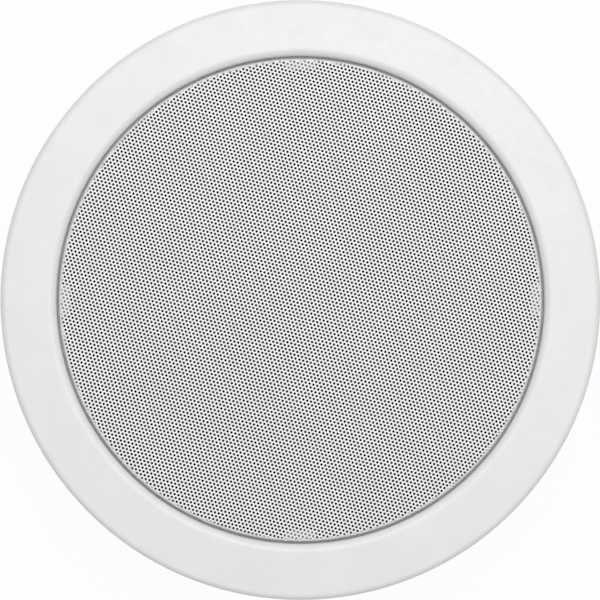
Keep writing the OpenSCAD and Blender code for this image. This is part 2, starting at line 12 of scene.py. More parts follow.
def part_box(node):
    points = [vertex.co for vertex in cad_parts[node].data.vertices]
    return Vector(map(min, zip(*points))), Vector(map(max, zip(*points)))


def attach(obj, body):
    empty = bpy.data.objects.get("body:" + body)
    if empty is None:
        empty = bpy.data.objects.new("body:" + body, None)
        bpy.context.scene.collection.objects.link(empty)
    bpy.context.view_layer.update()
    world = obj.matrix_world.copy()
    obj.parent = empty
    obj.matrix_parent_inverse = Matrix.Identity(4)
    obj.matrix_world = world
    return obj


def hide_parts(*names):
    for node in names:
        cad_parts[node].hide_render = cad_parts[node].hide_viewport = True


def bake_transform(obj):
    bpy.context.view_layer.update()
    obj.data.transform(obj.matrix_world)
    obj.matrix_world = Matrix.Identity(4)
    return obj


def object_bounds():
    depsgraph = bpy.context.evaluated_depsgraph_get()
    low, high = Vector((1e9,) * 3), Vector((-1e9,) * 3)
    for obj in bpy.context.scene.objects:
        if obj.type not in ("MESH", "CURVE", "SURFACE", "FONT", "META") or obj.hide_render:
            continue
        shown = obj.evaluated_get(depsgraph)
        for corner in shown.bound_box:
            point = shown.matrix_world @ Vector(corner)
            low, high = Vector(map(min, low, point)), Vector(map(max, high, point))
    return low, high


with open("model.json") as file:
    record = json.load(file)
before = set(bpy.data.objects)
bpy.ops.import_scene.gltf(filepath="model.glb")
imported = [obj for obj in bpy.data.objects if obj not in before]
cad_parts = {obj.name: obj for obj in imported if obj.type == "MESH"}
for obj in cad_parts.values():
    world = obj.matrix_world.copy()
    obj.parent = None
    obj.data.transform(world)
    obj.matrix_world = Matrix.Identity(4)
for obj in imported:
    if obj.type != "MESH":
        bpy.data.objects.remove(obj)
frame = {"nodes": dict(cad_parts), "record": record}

CAD_BOX = [list(corner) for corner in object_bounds()]
MM = 0.001

# Levels and radii of the solids that the pieces below stand in for, in millimetres
GRILLE_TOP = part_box("grille")[1].z / MM
GRILLE_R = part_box("grille")[1].x / MM
GRILLE_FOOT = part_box("grille")[0].z / MM
SHEET = 0.7
RIM_BEND = 0.9
CLOTH_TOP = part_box("grille_cloth")[1].z / MM
CLOTH_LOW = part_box("grille_cloth")[0].z / MM
CLOTH_NOTCH_HALF = 6.0
CLOTH_NOTCH_IN = 88.3
CLOTH_R = math.hypot(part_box("grille_cloth")[1].x / MM, CLOTH_NOTCH_HALF)
# Thickness of the grey layer laid on the lugs as painted shade
LUG_SHADE_THICKNESS = 0.03
FLOOR_GAP = 0.05
FLOOR_Z = CAD_BOX[0][2] / MM - FLOOR_GAP

# The sheet's perforation: rows at 45 degrees, each shifted by half a pitch from the next
HOLE_R = 0.505
HOLE_CORNERS = 8
ROW_PITCH = 1.494
ROW_GAP = 1.3225
ROW_ANGLE = math.radians(45)
BANDS = 4

# The least gap from a hole to the blank's edge, from a bend's mesh ring to a band's edge and to a hole,
# and the steps of the mesh along those rings and the blank's edge
HOLE_TO_EDGE = 0.15
RING_TO_BAND, RING_TO_HOLE = 0.1, 0.06
RING_STEP = 0.6
RIM_STEP = math.radians(0.6)

# The sheet as it lies flat: its rim is bent down about the middle of its thickness
BEND_START = GRILLE_R - RIM_BEND
BEND_MIDDLE = RIM_BEND - SHEET / 2
BEND_LENGTH = BEND_MIDDLE * math.pi / 2
BLANK_R = BEND_START + BEND_LENGTH + GRILLE_TOP - RIM_BEND - GRILLE_FOOT
BEND_RINGS = [BEND_START + BEND_LENGTH * i / 5 for i in range(6)]

# Soft parts of the woofer
FLANGE_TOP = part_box("surround")[0].z / MM
LANDING_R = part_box("surround")[1].x / MM
ROLL_IN_R, ROLL_OUT_R = 61.5, 69.0
CONE_JOINT_R = 58.1
RUBBER, RUBBER_EDGE = 0.5, 0.12
SURROUND_LIP = 0.7
CONE_LIP_Z = -11.65
SPIDER_Z = -34.0
SPIDER_CLOTH = 0.5
SPIDER_IN_R, SPIDER_COLLAR_R, SPIDER_OUT_R = 13.05, 15.0, 52.0
RIPPLE_R = (17.0, 41.0)
RIPPLES, RIPPLE_H = 4, 1.3

# The woofer's back plate and pole
PLATE_H, PLATE_CHAMFER = 5.0, 2.0
POLE_R, VENT_R, VENT_MOUTH_R = 12.3, 3.5, 5.0

# The crossover board's sector, and the routes of its leads as (v out from the centre, u along the rim, z)
SECTOR = math.radians(45)
BOARD_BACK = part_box("crossover_board")[0].z / MM
INDUCTOR_AT = (76.5, -14.5)
CAPACITOR_V, CAPACITOR_DROP, LEAD_R = 67.4, 5.3, 0.43
CAPACITOR_LEADS = [(-0.9, -2.2), (19.9, 21.2)]
TINSEL_R, WOOFER_WIRE_R, TWEETER_WIRE_R = 0.55, 0.8, 0.65
TWEETER_WIRE_STEP = 1.45
TINSEL_ROUTE = [(48.8, 7, -38.5), (53, 6.8, -38.4), (58.2, 6.4, -36.4), (60.4, 6, -32.4),
                (59.6, 5.7, -28.6), (55, 5.5, -26.2), (50, 5.4, -26), (43, 5.1, -26.6), (37, 5, -25),
                (33.4, 5, -21.9)]
TWEETER_ROUTE = [(84.4, 8, -28.2), (84.9, 8.6, -22), (84.9, 9, -15), (84.2, 9, -8.6), (80, 9, -5),
                 (74, 8.8, -3.4), (62, 8.8, -2.4), (44, 9, -2.6), (31, 9, -4), (25.5, 9, -6),
                 (21.5, 9, -7.1), (18.4, 9, -7.4)]

# Clamp screws: one in each quarter, with a coarse thread that pulls the arm up
SCREW_AT = (86.1, -9.0)
SCREW_SEAT = -1.95
SCREW_HEAD_R, SCREW_HEAD_H = 3.0, 2.6
SCREW_LENGTH = 44.5
THREAD_CREST, THREAD_ROOT, THREAD_PITCH = 1.75, 1.42, 2.0

# The photograph: the disc's centre and radius in its 600 pixel frame
PHOTO_WIDTH = 600
DISC_CENTRE_X = 300.4
DISC_CENTRE_Y = 300.0
DISC_R_PX = 299.6
FLANGE_R = CAD_BOX[1][0] / MM
CAMERA_HEIGHT = 1.8
SENSOR = 36

# Colours: sRGB levels of the white finishes, linear values of the black cloth, and the grey laid on the lugs
# as painted shade
WHITE_LEVELS = (237, 237, 236)
CLOTH_BLACK = (0.009, 0.009, 0.010)
LUG_SHADE_GREY = (0.36, 0.36, 0.36)
CLOTH_THREAD = 0.32

# Light and floor. The key stands above the picture's top, and its angles are in degrees. The world
# lights the part at WORLD_LEVEL and is white to the camera, and FLOOR_GLOW is the floor's share of that
KEY_AZIMUTH, KEY_ELEVATION = 75, 75
KEY_DISTANCE, KEY_SIZE, KEY_POWER = 2.0, 1.3, 25.5
WORLD_LEVEL = 0.4
FLOOR_HALF = 3000
FLOOR_GREY = (0.82, 0.82, 0.82)
FLOOR_GLOW = 0.96


# Mesh helpers
def new_object(name, verts, faces, smooth=40):
    mesh = bpy.data.meshes.new(name)
    mesh.from_pydata([Vector(v) * MM for v in verts], [], faces)
    mesh.update()
    if smooth:
        mesh.shade_smooth()
        mesh.set_sharp_from_angle(angle=math.radians(smooth))
    obj = bpy.data.objects.new(name, mesh)
    bpy.context.scene.collection.objects.link(obj)
    return obj


def arc(centre, radius, start, end, steps):
    """Points of an arc in a profile, from one angle to another in degrees."""
    angles = [math.radians(start + (end - start) * i / steps) for i in range(steps + 1)]
    return [(centre[0] + radius * math.cos(a), centre[1] + radius * math.sin(a)) for a in angles]


def revolve(name, profile, segments=192, smooth=40):
    """Turns a closed profile of (r, z) points about the Z axis. A point on the axis becomes one vertex."""
    verts, rings = [], []
    for r, z in profile:
        count = 1 if r < 1e-6 else segments
        rings.append([len(verts) + i for i in range(count)])
        for i in range(count):
            a = 2 * math.pi * i / segments
            verts.append((r * math.cos(a), r * math.sin(a), z))
    faces = []
    for ring, following in zip(rings, rings[1:] + rings[:1]):
        for i in range(segments):
            j = (i + 1) % segments
            corners = [ring[i % len(ring)], ring[j % len(ring)], following[j % len(following)],
                       following[i % len(following)]]
            corners = list(dict.fromkeys(corners))
            if len(corners) > 2:
                faces.append(corners)
    return new_object(name, verts, faces, smooth)


def swept(path, radius, sides, shape=None):
    """A tube along a path of points. Shape gives the radius's factor at an angle and a ring's number."""
    path = [Vector(p) for p in path]
    verts, faces = [], []
    across = None
    for i, point in enumerate(path):
        along = (path[min(i + 1, len(path) - 1)] - path[max(i - 1, 0)]).normalized()
        if across is None:
            across = along.cross(Vector((0.31, 0.17, 0.93))).normalized()
        across = (across - along * across.dot(along)).normalized()
        up = along.cross(across)
        for s in range(sides):
            a = 2 * math.pi * s / sides
            r = radius * (shape(a, i) if shape else 1)
            verts.append(point + (across * math.cos(a) + up * math.sin(a)) * r)
    for i in range(len(path) - 1):
        for s in range(sides):
            a, b = i * sides + s, i * sides + (s + 1) % sides
            faces.append([a, b, b + sides, a + sides])
    faces.append([s for s in reversed(range(sides))])
    faces.append([(len(path) - 1) * sides + s for s in range(sides)])
    return verts, faces


def curved(points, steps):
    """A smooth path through the points, by Catmull and Rom's rule."""
    points = [Vector(p) for p in points]
    path = []
    for i in range(len(points) - 1):
        a, b, c, d = (points[max(i - 1, 0)], points[i], points[i + 1], points[min(i + 2, len(points) - 1)])
        for k in range(steps):
            t = k / steps
            path.append(0.5 * (2 * b + (c - a) * t + (2 * a - 5 * b + 4 * c - d) * t * t
                               + (3 * b - a - 3 * c + d) * t ** 3))
    return path + [points[-1]]


def in_sector(v, u, z):
    """A point of the crossover's sector in the shared frame."""
    c, s = math.cos(SECTOR), math.sin(SECTOR)
    return Vector((v * c - u * s, v * s + u * c, z))


def joined(parts):
    """Joins several lists of vertices and faces into one."""
    verts, faces = [], []
    for part_verts, part_faces in parts:
        shift = len(verts)
        verts += part_verts
        faces += [[v + shift for v in face] for face in part_faces]
    return verts, faces


def ride_as(piece, body, node):
    """The piece takes the place of a CAD node: it rides with the body, and the node is hidden."""
    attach(piece, body)
    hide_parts(node)
    return piece


# Material helpers
def srgb(level):
    """Linear value of an sRGB level from 0 to 255."""
    c = level / 255
    return c / 12.92 if c <= 0.04045 else ((c + 0.055) / 1.055) ** 2.4


class Shader:
    """A material's node tree, with short calls for the nodes that it needs."""

    def __init__(self, name, color, rough, metal=0.0, spec=0.5, coat=0.0, sheen=0.0):
        self.mat = bpy.data.materials.new(name)
        self.mat.use_nodes = True
        self.tree = self.mat.node_tree
        self.bsdf = self.tree.nodes["Principled BSDF"]
        self.color = tuple(color[:3]) + (1.0,)
        self.rough = rough
        for socket, value in (("Metallic", metal), ("Specular IOR Level", spec), ("Coat Weight", coat),
                              ("Sheen Weight", sheen)):
            self.bsdf.inputs[socket].default_value = value
        self.place = self.node("ShaderNodeTexCoord").outputs["Object"]
        self.height = None

    def node(self, kind, **values):
        n = self.tree.nodes.new(kind)
        for key, value in values.items():
            if hasattr(n, key):
                setattr(n, key, value)
            else:
                n.inputs[key.replace("_", " ")].default_value = value
        return n

    def link(self, source, target):
        self.tree.links.new(source, target)

    def stretched(self, scale):
        mapping = self.node("ShaderNodeMapping")
        mapping.inputs["Scale"].default_value = scale
        self.link(self.place, mapping.inputs["Vector"])
        return mapping.outputs["Vector"]

    def noise(self, size, detail=3.0, stretch=(1, 1, 1)):
        """Noise whose features are about size millimetres across, from 0 to 1."""
        n = self.node("ShaderNodeTexNoise", Scale=1 / (size * MM), Detail=detail)
        self.link(self.stretched(stretch), n.inputs["Vector"])
        return n.outputs["Fac"]

    def waves(self, size, direction="X", bands="BANDS", distortion=0.0):
        """Bands that repeat every size millimetres."""
        n = self.node("ShaderNodeTexWave", Scale=math.pi / (size * MM * 10), Distortion=distortion)
        n.wave_type = bands
        if bands == "BANDS":
            n.bands_direction = direction
        else:
            n.rings_direction = direction
        self.link(self.place, n.inputs["Vector"])
        return n.outputs["Fac"]

    def span(self, source, low, high, start=0.3, end=0.7):
        n = self.node("ShaderNodeMapRange")
        n.inputs["From Min"].default_value = start
        n.inputs["From Max"].default_value = end
        n.inputs["To Min"].default_value = low
        n.inputs["To Max"].default_value = high
        self.link(source, n.inputs["Value"])
        return n.outputs["Result"]

    def tint(self, source, amount):
        """Darkens the colour by amount where a 0 to 1 source is low."""
        mix = self.node("ShaderNodeMix", data_type="RGBA")
        mix.inputs[6].default_value = tuple(c * (1 - amount) for c in self.color[:3]) + (1.0,)
        mix.inputs[7].default_value = self.color
        self.link(source, mix.inputs["Factor"])
        self.link(mix.outputs[2], self.bsdf.inputs["Base Color"])

    def roughness(self, source, swing):
        self.link(self.span(source, self.rough - swing, self.rough + swing), self.bsdf.inputs["Roughness"])

    def bump(self, source, depth):
        """Adds relief of depth millimetres."""
        n = self.node("ShaderNodeBump")
        n.inputs["Strength"].default_value = 1.0
        n.inputs["Distance"].default_value = depth * MM
        self.link(source, n.inputs["Height"])
        if self.height is not None:
            self.link(self.height, n.inputs["Normal"])
        self.height = n.outputs["Normal"]
        self.link(self.height, self.bsdf.inputs["Normal"])


def moulded(name, color, rough, grain=0.35, depth=0.006, **extra):
    """Moulded plastic: a fine spark-eroded grain and a faint unevenness in tone."""
    s = Shader(name, color, rough, **extra)
    s.tint(s.span(s.noise(14, 2), 0, 1), 0.035)
    s.roughness(s.noise(3, 3), 0.05)
    s.bump(s.noise(grain, 2), depth)
    return s


def coated(name, color, rough, **extra):
    """Powder coat: soft orange peel over metal."""
    s = Shader(name, color, rough, **extra)
    s.tint(s.span(s.noise(20, 2), 0, 1), 0.03)
    s.roughness(s.noise(2, 3), 0.05)
    s.bump(s.noise(0.9, 2), 0.006)
    return s


def rubbery(name, color, rough, **extra):
    s = Shader(name, color, rough, **extra)
    s.tint(s.span(s.noise(6, 4), 0, 1), 0.3)
    s.roughness(s.noise(1.5, 3), 0.06)
    s.bump(s.noise(0.25, 3), 0.008)
    return s


def woven(name, color, rough, thread, depth, **extra):
    """Cloth: two crossed sets of threads and a little unevenness."""
    s = Shader(name, color, rough, **extra)
    s.tint(s.span(s.noise(4, 4), 0, 1), 0.25)
    s.roughness(s.noise(2, 3), 0.05)
    s.bump(s.waves(thread, "X"), depth)
    s.bump(s.waves(thread, "Y"), depth)
    return s


def painted_lug_shade(name, color, thread):
    """Painted shade on a white lug under the sheet: a grey layer with a thread pattern, standing in for the
    shade there.
    """
    s = Shader(name, color, 0.9, spec=0.1)
    s.tint(s.span(s.waves(thread, "X"), 0, 1), 0.6)
    s.roughness(s.noise(2, 3), 0.05)
    s.bump(s.waves(thread, "Y"), 0.03)
    return s


def metal(name, color, rough, turned=None, **extra):
    """Bare or plated metal, with lathe rings where it is turned and fine scratches otherwise."""
    s = Shader(name, color, rough, metal=1.0, **extra)
    s.tint(s.span(s.noise(5, 4), 0, 1), 0.12)
    s.roughness(s.noise(1.2, 4), 0.08)
    if turned:
        s.bump(s.waves(turned, "Z", "RINGS"), 0.0015)
    else:
        s.bump(s.noise(0.3, 3, (1, 6, 1)), 0.003)
    return s


def copper_turns(name, color):
    s = Shader(name, color, 0.28, metal=1.0, coat=0.5)
    s.tint(s.span(s.noise(2, 3), 0, 1), 0.25)
    s.roughness(s.noise(1, 2), 0.06)
    s.bump(s.waves(0.4, "Z"), 0.02)
    return s


def board_green(name, color):
    """Solder mask with the copper tracks faint beneath it."""
    s = Shader(name, color, 0.3, coat=0.3)
    cells = s.node("ShaderNodeTexVoronoi", Scale=1 / (7 * MM), feature="DISTANCE_TO_EDGE")
    s.link(s.place, cells.inputs["Vector"])
    tracks = s.span(cells.outputs["Distance"], 0, 1, 0.06, 0.10)
    s.tint(tracks, 0.35)
    s.roughness(s.noise(2, 2), 0.04)
    s.bump(tracks, 0.03)
    return s


def braid(name, color):
    s = Shader(name, color, 0.35, metal=1.0)
    s.tint(s.span(s.noise(0.5, 2), 0, 1), 0.35)
    s.roughness(s.noise(0.6, 2), 0.08)
    s.bump(s.waves(0.5, "X", distortion=1.5), 0.05)
    s.bump(s.waves(0.5, "Z", distortion=1.5), 0.05)
    return s


def finishes(materials):
    """One shader for each material slot of the record."""
    base = {m["slot"]: m["base_color"] for m in materials}
    white = tuple(srgb(level) for level in WHITE_LEVELS)
    return {
        "white_abs": moulded("white_abs", white, 0.42, grain=0.3, depth=0.003),
        "white_steel": coated("white_steel", white, 0.4),
        "black_cloth": woven("black_cloth", CLOTH_BLACK, 0.95, CLOTH_THREAD, 0.05, spec=0.1),
        "black_foam": rubbery("black_foam", base["black_foam"], 0.9, spec=0.2),
        "black_steel": coated("black_steel", base["black_steel"], 0.42),
        "black_rubber": rubbery("black_rubber", base["black_rubber"], 0.62, spec=0.35),
        "black_cone": rubbery("black_cone", base["black_cone"], 0.5),
        "kapton": moulded("kapton", base["kapton"], 0.25, grain=1.5, coat=0.3),
        "copper_wire": copper_turns("copper_wire", base["copper_wire"]),
        "impregnated_cloth": woven("impregnated_cloth", base["impregnated_cloth"], 0.7, 0.5, 0.06),
        "zinc_steel": metal("zinc_steel", base["zinc_steel"], 0.36, turned=1.1),
        "ferrite": rubbery("ferrite", base["ferrite"], 0.45),
        "fibre_strip": moulded("fibre_strip", base["fibre_strip"], 0.5),
        "braided_copper": braid("braided_copper", base["braided_copper"]),
        "black_plastic": moulded("black_plastic", base["black_plastic"], 0.45),
        "silk_dome": woven("silk_dome", base["silk_dome"], 0.55, 0.22, 0.02, sheen=0.3),
        "nickel": metal("nickel", base["nickel"], 0.25),
        "circuit_board": board_green("circuit_board", base["circuit_board"]),
        "capacitor_sleeve": moulded("capacitor_sleeve", base["capacitor_sleeve"], 0.22, grain=2, coat=0.3),
        "ceramic": rubbery("ceramic", base["ceramic"], 0.85),
        "red_plastic": moulded("red_plastic", base["red_plastic"], 0.3),
        "black_button": moulded("black_button", base["black_button"], 0.3),
        "red_wire": moulded("red_wire", base["red_wire"], 0.35),
        "grey_wire": moulded("grey_wire", base["grey_wire"], 0.4),
        "black_screw": metal("black_screw", base["black_screw"], 0.4),
        "zinc_screw": metal("zinc_screw", base["zinc_screw"], 0.3),
        "brass": metal("brass", base["brass"], 0.25),
        "clamp_nylon": moulded("clamp_nylon", base["clamp_nylon"], 0.5),
    }


def dress(obj, shader):
    obj.data.materials.clear()
    obj.data.materials.append(shader.mat)


# Grille: the real perforation, cut through a sheet that keeps the solid's form
def hole_rows():
    """Centres of the holes in the flat blank, one list for each row, from low to high."""
    along = np.array([math.cos(ROW_ANGLE), math.sin(ROW_ANGLE)])
    across = np.array([-math.sin(ROW_ANGLE), math.cos(ROW_ANGLE)])
    last = math.ceil(BLANK_R / ROW_GAP)
    reach = math.ceil(BLANK_R / ROW_PITCH) + 1
    rows = {}
    for row in range(-last, last + 1):
        for i in range(-reach, reach + 1):
            place = along * ((i + 0.5 * (row % 2)) * ROW_PITCH) + across * (row * ROW_GAP)
            if np.hypot(*place) < BLANK_R - HOLE_R - HOLE_TO_EDGE:
                rows.setdefault(row, []).append(place)
    return rows


def turned(along, across):
    """A point given along and across the rows, in x and y."""
    c, s = math.cos(ROW_ANGLE), math.sin(ROW_ANGLE)
    return (along * c - across * s, along * s + across * c)


def band_outline(low, high):
    """Outline of the blank between two lines along the rows, anticlockwise."""
    def chord(level, side):
        places = [math.sqrt(r * r - level * level) for r in BEND_RINGS]
        outwards = [turned(side * x, level) for x in places]
        return outwards if side > 0 else outwards[::-1]

    def rim(start, end):
        steps = max(2, math.ceil(abs(end - start) / RIM_STEP))
        angles = [start + (end - start) * i / steps for i in range(steps + 1)]
        return [turned(BLANK_R * math.cos(a), BLANK_R * math.sin(a)) for a in angles]
    bottom = math.asin(low / BLANK_R) if low is not None else -math.pi / 2
    top = math.asin(high / BLANK_R) if high is not None else math.pi / 2
    points = rim(bottom, top)
    if high is not None:
        points += chord(high, 1)[::-1] + chord(high, -1)[::-1]
    left = rim(math.pi - top, math.pi - bottom)
    points += left if high is not None else left[1:]
    if low is not None:
        points += chord(low, -1) + chord(low, 1)
    else:
        points.pop()
    return points


def folded(x, y, face):
    """Where a point of the blank comes to lie once the rim is bent down. Face is 1 outside and 0 inside."""
    s = math.hypot(x, y)
    if s <= BEND_START:
        return (x, y, GRILLE_TOP - SHEET * (1 - face))
    radius = RIM_BEND - SHEET * (1 - face)
    angle = min((s - BEND_START) / BEND_MIDDLE, math.pi / 2)
    drop = max(0.0, s - BEND_START - BEND_LENGTH)
    r = BEND_START + radius * math.sin(angle)
    return (x / s * r, y / s * r, GRILLE_TOP - RIM_BEND + radius * math.cos(angle) - drop)


def perforated_band(name, centres, low, high):
    """One closed piece of the sheet, with its holes cut through."""
    outline = band_outline(low, high)
    verts = list(outline)
    loops = [list(range(len(outline)))]
    owner = [-1] * len(outline)
    for number, centre in enumerate(centres):
        loops.append(list(range(len(verts), len(verts) + HOLE_CORNERS)))
        for corner in range(HOLE_CORNERS):
            a = ROW_ANGLE + 2 * math.pi * (corner + 0.5) / HOLE_CORNERS
            verts.append((centre[0] + HOLE_R * math.cos(a), centre[1] + HOLE_R * math.sin(a)))
            owner.append(number)
    edges = [(loop[i], loop[(i + 1) % len(loop)]) for loop in loops for i in range(len(loop))]
    centre_array = np.array(centres)
    c, s = math.cos(ROW_ANGLE), math.sin(ROW_ANGLE)
    for r in BEND_RINGS:
        angles = np.arange(0, 2 * math.pi, RING_STEP / r)
        ring = np.stack([r * np.cos(angles), r * np.sin(angles)], axis=1)
        level = -ring[:, 0] * s + ring[:, 1] * c
        inside = np.ones(len(ring), bool)
        if low is not None:
            inside &= level > low + RING_TO_BAND
        if high is not None:
            inside &= level < high - RING_TO_BAND
        for point in ring[inside]:
            gap = np.hypot(*(centre_array - point).T).min()
            if gap > HOLE_R + RING_TO_HOLE:
                verts.append(tuple(point))
                owner.append(-1)
    flat, _, triangles, origin, _, _ = delaunay_2d_cdt([Vector(v) for v in verts], edges, [], 1, 1e-7)
    ids = [o[0] if o else -1 for o in origin]
    keep = []
    for tri in triangles:
        holes = {owner[ids[v]] if ids[v] >= 0 else -1 for v in tri}
        if len(holes) > 1 or -1 in holes:
            keep.append(list(tri))
    count = len(flat)
    solid = [folded(v.x, v.y, 1) for v in flat] + [folded(v.x, v.y, 0) for v in flat]
    faces = keep + [[v + count for v in reversed(tri)] for tri in keep]
    sides = {(a, b) for tri in keep for a, b in zip(tri, tri[1:] + tri[:1])}
    faces += [[b, a, a + count, b + count] for a, b in sorted(sides) if (b, a) not in sides]
    return new_object(name, solid, faces)


def make_grille(shader):
    rows = hole_rows()
    total = sum(len(centres) for centres in rows.values())
    groups, held = [[]], 0
    for row in sorted(rows):
        groups[-1].append(row)
        held += len(rows[row])
        if held >= total * len(groups) / BANDS and len(groups) < BANDS:
            groups.append([])
    for i, group in enumerate(groups):
        low = (group[0] - 0.5) * ROW_GAP if i > 0 else None
        high = (group[-1] + 0.5) * ROW_GAP if i < BANDS - 1 else None
        piece = perforated_band(f"grille_sheet_{i + 1}", [c for row in group for c in rows[row]], low, high)
        ride_as(piece, "chassis", "grille")
        dress(piece, shader)


def spun(points, quarter):
    """The points turned by a number of quarters about the Z axis."""
    c, s = ((1, 0), (0, 1), (-1, 0), (0, -1))[quarter]
    return [(x * c - y * s, x * s + y * c) for x, y in points]


def plate(outline, low, high):
    """Vertices and faces of a flat plate with an anticlockwise outline."""
    count = len(outline)
    verts = [(x, y, high) for x, y in outline] + [(x, y, low) for x, y in outline]
    faces = [list(range(count)), list(range(2 * count - 1, count - 1, -1))]
    faces += [[i, i + count, (i + 1) % count + count, (i + 1) % count] for i in range(count)]
    return verts, faces


def make_cloth(shader, lug_shade_shader):
    """The black cloth behind the sheet, notched at the bezel's four lugs, and a grey layer on each lug that
    is painted shade.
    """
    outline, shade_patches = [], []
    half = math.degrees(math.asin(CLOTH_NOTCH_HALF / CLOTH_R))
    edge = arc((0, 0), CLOTH_R, -half, half, 8)
    for quarter in range(4):
        corner = [edge[0], (CLOTH_NOTCH_IN, -CLOTH_NOTCH_HALF), (CLOTH_NOTCH_IN, CLOTH_NOTCH_HALF)]
        corner += arc((0, 0), CLOTH_R, half, 90 - half, 40)[:-1]
        outline += spun(corner, quarter)
        shade_patch = [(CLOTH_NOTCH_IN, CLOTH_NOTCH_HALF), (CLOTH_NOTCH_IN, -CLOTH_NOTCH_HALF)] + edge
        shade_patches.append(plate(spun(shade_patch, quarter), CLOTH_TOP, CLOTH_TOP + LUG_SHADE_THICKNESS))
    # The grey layer on the lugs is painted shade, for the shade that falls on them under the sheet
    lug_shade_piece = new_object("lug_shade_layer", *joined(shade_patches), smooth=0)
    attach(lug_shade_piece, "chassis")
    dress(lug_shade_piece, lug_shade_shader)
    piece = new_object("grille_backing_cloth", *plate(outline, CLOTH_LOW, CLOTH_TOP), smooth=0)
    ride_as(piece, "chassis", "grille_cloth")
    dress(piece, shader)


# Woofer's soft parts: they bend between the basket and the moving cone
def bend_with_cone(piece):
    """Bakes the piece's placement into its vertices."""
    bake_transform(piece)


def make_surround(shader):
    centre = (ROLL_OUT_R + ROLL_IN_R) / 2
    radius = ROLL_OUT_R - centre
    top = FLANGE_TOP + RUBBER
    profile = [(LANDING_R, FLANGE_TOP), (LANDING_R, top - RUBBER_EDGE), (LANDING_R - RUBBER_EDGE, top)]
    profile += arc((centre, top), radius, 0, 180, 28)
    profile += [(CONE_JOINT_R + RUBBER_EDGE, top), (CONE_JOINT_R, top - RUBBER_EDGE),
                (CONE_JOINT_R, CONE_LIP_Z), (ROLL_IN_R - SURROUND_LIP, CONE_LIP_Z)]
    profile += arc((centre, FLANGE_TOP), radius - RUBBER, 180, 0, 28)
    piece = revolve("woofer_surround", profile, 240)
    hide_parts("surround")
    bend_with_cone(piece)
    dress(piece, shader)


def make_spider(shader):
    first, last = RIPPLE_R
    steps = 96
    rippled = [first + (last - first) * i / steps for i in range(steps + 1)]
    radii = [SPIDER_IN_R, SPIDER_COLLAR_R] + rippled + [SPIDER_OUT_R]

    def height(r):
        if not first < r < last:
            return SPIDER_Z
        return SPIDER_Z - RIPPLE_H * math.sin(2 * math.pi * RIPPLES * (r - first) / (last - first))
    profile = [(r, height(r)) for r in radii] + [(r, height(r) + SPIDER_CLOTH) for r in reversed(radii)]
    piece = revolve("woofer_spider", profile, 192, 50)
    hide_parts("spider")
    bend_with_cone(piece)
    dress(piece, shader)


def make_back_plate(shader):
    """The magnet's back plate with its pole piece, turned in one, in the solid's own form."""
    low, high = (corner.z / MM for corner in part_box("back_plate"))
    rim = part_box("back_plate")[1].x / MM
    face = low + PLATE_H
    profile = [(rim, low + PLATE_CHAMFER), (rim, face), (POLE_R + PLATE_CHAMFER, face),
               (POLE_R, face + PLATE_CHAMFER), (POLE_R, high), (VENT_R, high), (VENT_R, low + PLATE_CHAMFER),
               (VENT_MOUTH_R, low), (rim - PLATE_CHAMFER, low)]
    piece = revolve("magnet_back_plate", profile, 192)
    ride_as(piece, "chassis", "back_plate")
    dress(piece, shader)


def make_tinsel_leads(shader):
    sides, strands = 24, 6
    path = curved(TINSEL_ROUTE, 24)

    def strand(angle, ring):
        return 0.92 + 0.08 * math.cos(strands * angle + 0.9 * ring)
    parts = []
    for side in (1, -1):
        parts.append(swept([in_sector(v, side * u, z) for v, u, z in path], TINSEL_R, sides, strand))
    piece = new_object("tinsel_lead_pair", *joined(parts), 60)
    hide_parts("tinsel_leads")
    bend_with_cone(piece)
    dress(piece, shader)


# Wires, winding and clamp screws
def make_wires(red, grey):
    parts = []
    for u, end in ((-6.4, -7), (-3.4, 7)):
        step = end - u
        route = [(63.6, u, BOARD_BACK - 0.05), (63.4, u, -33.5), (61, u + 0.2 * step, -37.5),
                 (57, u + 0.6 * step, -41), (52.5, end, -43.4), (49.0, end, -43.2)]
        parts.append(swept([in_sector(*p) for p in curved(route, 8)], WOOFER_WIRE_R, 16))
    piece = new_object("woofer_wire_pair", *joined(parts))
    ride_as(piece, "chassis", "woofer_wires")
    dress(piece, red)
    parts = []
    for step in (0, TWEETER_WIRE_STEP):
        route = [(v, u + step, z) for v, u, z in TWEETER_ROUTE]
        parts.append(swept([in_sector(*p) for p in curved(route, 8)], TWEETER_WIRE_R, 16))
    piece = new_object("tweeter_wire_pair", *joined(parts))
    ride_as(piece, "chassis", "tweeter_wires")
    dress(piece, grey)


def make_capacitor_leads(shader):
    """Tinned wires that leave the capacitor's ends and turn down into the board."""
    level = BOARD_BACK - CAPACITOR_DROP
    parts = []
    for end, corner in CAPACITOR_LEADS:
        along = [in_sector(CAPACITOR_V, end, level), in_sector(CAPACITOR_V, corner, level)]
        down = [in_sector(CAPACITOR_V, corner, level - LEAD_R), in_sector(CAPACITOR_V, corner, BOARD_BACK)]
        parts += [swept(along, LEAD_R, 16), swept(down, LEAD_R, 16)]
    piece = new_object("capacitor_lead_pair", *joined(parts), 60)
    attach(piece, "chassis")
    dress(piece, shader)


def make_winding(shader):
    """The inductor's outer layer of enamelled wire."""
    inner, outer, wire = 5.2, 9.3, 0.8
    low, high = BOARD_BACK - 11, BOARD_BACK - 1.4
    turns = round((high - low) / wire)
    profile = [(inner, high), (inner, low)]
    for i in range(turns):
        profile += arc((outer - wire / 2, low + wire * (i + 0.5)), wire / 2, -75, 75, 4)
    piece = revolve("inductor_turns", profile, 72, 50)
    place = in_sector(*INDUCTOR_AT, 0) * MM
    piece.data.transform(Matrix.Translation(place))
    ride_as(piece, "chassis", "inductor_winding")
    dress(piece, shader)


def recess_depth(x, y):
    """Depth of the cross recess in a screw's head."""
    half, reach, deep = 0.42, 1.75, 1.3
    a, b = abs(x), abs(y)
    slot = max(min(1.0, (half - min(a, b)) / 0.12 + 0.5), 0.0)
    length = max(min(1.0, (reach - max(a, b)) / 0.5 + 0.5), 0.0)
    return deep * slot * length


